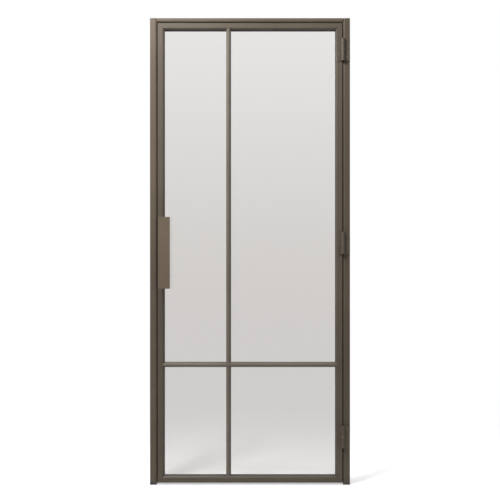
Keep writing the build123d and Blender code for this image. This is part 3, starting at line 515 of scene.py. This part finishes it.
# Painted shade: the tint darkens to a third of the way up the door and lightens towards the top,
# for the shading of what shows through the panes.
for at, tone in (
    (0.0, (209, 208, 208)), (0.33, (202, 198, 196)),
    (0.62, (212, 209, 207)), (1.0, (233, 232, 231)),
):
    stop = ramp.elements[0] if at == 0 else ramp.elements.new(at) if at < 1 else ramp.elements[-1]
    stop.position = at
    stop.color = linear(*tone)
door_height = 2.1
feed(tree, grey.inputs[0], between(tree, height, 0.0, 1.0, 0.0, door_height))
feed(tree, shader.inputs["Base Color"], grey.outputs["Color"])
feed(tree, shader.inputs["Transmission Weight"], 1.0)
feed(tree, shader.inputs["Roughness"], 0.0)
feed(tree, shader.inputs["IOR"], 1.5)
lets_through = add_node(tree, "ShaderNodeBsdfTransparent", Color=linear(236, 235, 233))
mixed = add_node(tree, "ShaderNodeMixShader")
feed(tree, mixed.inputs[0], add_node(tree, "ShaderNodeLightPath").outputs["Is Shadow Ray"])
feed(tree, mixed.inputs[1], shader.outputs[0])
feed(tree, mixed.inputs[2], lets_through.outputs[0])
out = next(n for n in tree.nodes if n.type == "OUTPUT_MATERIAL")
feed(tree, out.inputs["Surface"], mixed.outputs[0])
finish_nodes(glass, "pane_upper_left", "pane_upper_right", "pane_lower_left", "pane_lower_right")


# Glazing rubber and setting blocks
# A channel of black rubber wraps the edge of each pane and is gripped between lip and bead. Black
# nylon blocks carry the lower panes.

glazing_rubber = rubber("glazing_rubber_black", linear(34, 32, 31), linear(48, 46, 44))
finish_nodes(
    glazing_rubber, "rubber_upper_left", "rubber_upper_right", "rubber_lower_left",
    "rubber_lower_right",
)
finish_nodes(nylon, "setting_blocks")


# Hinges
# Turned and milled steel in the same bronze coat, on bright steel pins with a darkened brass washer
# between the knuckles. Tapped steel plates inside the bars take the screws.

hinge_coat = powder_coat(
    "hinge_coat_bronze", linear(80, 70, 58), linear(90, 80, 68), peel_depth=0.00003
)
finish_nodes(
    hinge_coat, "frame_wing_low", "frame_wing_middle", "frame_wing_top",
    "leaf_wing_low", "leaf_wing_middle", "leaf_wing_top",
)
brass = metal("washer_brass", linear(118, 101, 74), linear(134, 116, 86), 0.4, 900.0)
finish_nodes(brass, "hinge_washers")
finish_nodes(
    zinc, "hinge_pin_low", "hinge_pin_middle", "hinge_pin_top", "frame_backing_plates",
    "leaf_backing_plates",
)


# Wing screws
# Countersunk steel screws with a hexagon socket, blackened to a dark bronze. Three go through each
# wing into the tapped plate behind it.

screw_steel = metal("wing_screw_bronze", linear(84, 76, 68), linear(104, 95, 86), 0.42, 900.0)
finish_nodes(screw_steel, "frame_wing_screws", "leaf_wing_screws")
wing_face, hinge_heights, screw_spacing = -0.0139, (0.218, 1.0875, 1.957), 0.035
for name, across, body, seed in (
    ("frame_wing_screws", 0.43675, "door_frame", 11), ("leaf_wing_screws", 0.4025, "leaf", 12),
):
    set_in_place(
        name + "_sunk", screw_tree,
        [((across, wing_face, middle + step * screw_spacing), (0.0, -1.0, 0.0))
         for middle in hinge_heights for step in (-1, 0, 1)],
        body, "wing_screw_steel", replaced=[name], Finish=screw_steel, Seed=seed,
        Head_radius=0.0046, Head_height=0.0021, Underside_radius=0.0025, Rim_rounding=0.00015,
        Sunk=0.0021, Shank_radius=0.0025, Length=0.013, Thread_length=0.009, Thread_pitch=0.0008,
        Socket_width=0.003, Socket_depth=0.0016,
    )


# Pull
# A flat steel plate in the same coat, welded to two turned posts before coating, with black nylon
# washers between the posts and the stile.

pull_coat = powder_coat(
    "pull_coat_bronze", linear(100, 88, 73), linear(110, 97, 82), peel_depth=0.00003
)
finish_nodes(pull_coat, "pull")
finish_nodes(nylon, "pull_washers")

weld_tree, given = new_pieces_tree("weld_beads", ("Post radius", "Bead radius", "Ripple"))
ring = add_node(
    weld_tree, "GeometryNodeCurvePrimitiveCircle", Resolution=72,
    Radius=reckon(weld_tree, "MULTIPLY_ADD", given["Bead radius"], 0.3, given["Post radius"]),
).outputs["Curve"]
bead = add_node(
    weld_tree, "GeometryNodeCurveToMesh", Curve=ring,
    Profile_Curve=add_node(
        weld_tree, "GeometryNodeCurvePrimitiveCircle", Resolution=12, Radius=given["Bead radius"]
    ).outputs["Curve"],
).outputs[0]
ripples = add_node(weld_tree, "ShaderNodeTexNoise", Scale=900.0, Detail=0.0).outputs["Fac"]
ripples = reckon(weld_tree, "SUBTRACT", ripples, 0.5)
outwards = add_node(weld_tree, "GeometryNodeInputNormal").outputs["Normal"]
shift = add_node(weld_tree, "ShaderNodeVectorMath", {"operation": "SCALE"})
feed(weld_tree, shift.inputs[0], outwards)
feed(weld_tree, shift.inputs["Scale"], reckon(weld_tree, "MULTIPLY", ripples, given["Ripple"]))
bead = add_node(
    weld_tree, "GeometryNodeSetPosition", Geometry=bead, Offset=shift.outputs[0]
).outputs[0]
put_on_seats(weld_tree, given, bead)
post_across, post_heights, plate_back = -0.4025, (0.924, 1.164), -0.050
set_in_place(
    "pull_weld_beads", weld_tree,
    [((post_across, plate_back, height), (0.0, 1.0, 0.0)) for height in post_heights],
    "leaf", "pull_coat", Finish=pull_coat, Seed=5,
    Post_radius=0.006, Bead_radius=0.0012, Ripple=0.0005,
)


# Pull screws
# Zinc-plated pan screws with a hexagon socket. They are driven from the back of the stile, right
# through it into the posts.

leaf_back = 0.031
set_in_place(
    "pull_socket_screws", screw_tree,
    [((post_across, leaf_back, height), (0.0, 1.0, 0.0)) for height in post_heights],
    "leaf", "plated_steel", replaced=["pull_screws"], Finish=zinc, Seed=21,
    Head_radius=0.0045, Head_height=0.0022, Underside_radius=0.0045, Rim_rounding=0.0007, Sunk=0.0,
    Shank_radius=0.003, Length=0.053, Thread_length=0.012, Thread_pitch=0.001,
    Socket_width=0.003, Socket_depth=0.0014,
)


# Magnetic catch
# A nylon housing in the top rail holds a nickel-plated magnet, which pulls on a zinc-plated steel
# keeper that two small countersunk screws hold under the head.

magnet_nickel = metal(
    "catch_magnet_nickel", linear(120, 120, 118), linear(140, 139, 136), 0.3, 500.0
)
finish_nodes(nylon, "catch_housing")
finish_nodes(magnet_nickel, "catch_magnet")
finish_nodes(zinc, "catch_keeper")
keeper_depth, keeper_face, keeper_screw_places = 0.013, 2.0795, (-0.346, -0.314)
set_in_place(
    "keeper_sunk_screws", screw_tree,
    [((across, keeper_depth, keeper_face), (0.0, 0.0, -1.0)) for across in keeper_screw_places],
    "door_frame", "plated_steel", replaced=["keeper_screws"], Finish=zinc, Seed=30,
    Head_radius=0.0028, Head_height=0.0013, Underside_radius=0.0015, Rim_rounding=0.0001,
    Sunk=0.0013, Shank_radius=0.0015, Length=0.008, Thread_length=0.0055, Thread_pitch=0.0005,
    Socket_width=0.0018, Socket_depth=0.0009,
)


# Studio
# A white room with a pale floor. A soft lamp hangs to the upper left, a weak one stands to the
# right, and one lights the back.

scene.view_settings.view_transform = "Standard"

camera_data = bpy.data.cameras.new("camera")
camera_data.sensor_width = 36.0
camera_data.lens = 64.0
camera = bpy.data.objects.new("camera", camera_data)
camera.location = (0.0, -4.009, 1.0565)
camera.rotation_euler = (math.radians(90), 0.0, 0.0)
scene.collection.objects.link(camera)
scene.camera = camera


def seen_by_eye(tree):
    """1 for rays that end in the picture, straight or by way of glass or a gloss."""
    path = add_node(tree, "ShaderNodeLightPath").outputs
    direct = reckon(tree, "MAXIMUM", path["Is Camera Ray"], path["Is Transmission Ray"])
    return reckon(tree, "MAXIMUM", direct, path["Is Glossy Ray"])


def blended(tree, share, first, second):
    """A shader that runs from first to second as share goes from 0 to 1."""
    made = add_node(tree, "ShaderNodeMixShader")
    for socket, value in zip(made.inputs, (share, first.outputs[0], second.outputs[0])):
        feed(tree, socket, value)
    return made


world = bpy.data.worlds.new("white_room")
scene.world = world
world.use_nodes = True
sky = world.node_tree
sky.nodes.clear()
ambient = add_node(sky, "ShaderNodeBackground", Color=(1, 1, 1, 1), Strength=0.18)
backdrop = add_node(sky, "ShaderNodeBackground", Color=(1, 1, 1, 1), Strength=1.0)
chosen = blended(sky, seen_by_eye(sky), ambient, backdrop)
add_node(sky, "ShaderNodeOutputWorld", Surface=chosen.outputs[0])

for name, place, aim, size, power in (
    ("window_lamp", (-1.0, -1.4, 3.2), (0.0, 0.0, 1.2), 0.8, 81.0),
    ("fill_lamp", (2.4, -2.6, 2.4), (0.0, 0.0, 1.0), 2.0, 1.0),
    ("rear_lamp", (1.6, 2.4, 3.2), (0.0, 0.0, 1.0), 1.4, 55.0),
):
    lamp = bpy.data.lights.new(name, "AREA")
    lamp.shape = "DISK"
    lamp.size = size
    lamp.energy = power
    hung = bpy.data.objects.new(name, lamp)
    hung.location = place
    hung.rotation_euler = (Vector(aim) - Vector(place)).to_track_quat("-Z", "Y").to_euler()
    hung.visible_camera = False
    hung.visible_transmission = False
    scene.collection.objects.link(hung)

floor_mesh = bpy.data.meshes.new("floor")
reach = 60
corners = [(-reach, -reach, 0), (reach, -reach, 0), (reach, reach, 0), (-reach, reach, 0)]
floor_mesh.from_pydata(corners, [], [(0, 1, 2, 3)])
floor = bpy.data.objects.new("floor", floor_mesh)
scene.collection.objects.link(floor)
floor_paint = bpy.data.materials.new("floor_paint")
floor_paint.use_nodes = True
tree = floor_paint.node_tree
tree.nodes.clear()
paint = add_node(tree, "ShaderNodeBsdfDiffuse", Color=(0.8, 0.8, 0.8, 1))
base_glow = add_node(tree, "ShaderNodeEmission", Color=(1, 1, 1, 1), Strength=0.5)
white_paint = add_node(tree, "ShaderNodeBsdfDiffuse", Color=(0.75, 0.75, 0.75, 1))
near = add_node(tree, "ShaderNodeAddShader")
feed(tree, near.inputs[0], base_glow.outputs[0])
feed(tree, near.inputs[1], white_paint.outputs[0])
away = add_node(tree, "ShaderNodeVectorMath", {"operation": "LENGTH"})
feed(tree, away.inputs[0], add_node(tree, "ShaderNodeTexCoord").outputs["Object"])
far_white = add_node(tree, "ShaderNodeEmission", Color=(1, 1, 1, 1), Strength=1.0)
shadow_fades, shadow_gone = 0.5, 1.9
far = between(tree, away.outputs["Value"], 0.0, 1.0, shadow_fades, shadow_gone)
lifted = blended(tree, far, near, far_white)
chosen = blended(tree, seen_by_eye(tree), paint, lifted)
add_node(tree, "ShaderNodeOutputMaterial", Surface=chosen.outputs[0])
floor_mesh.materials.append(floor_paint)
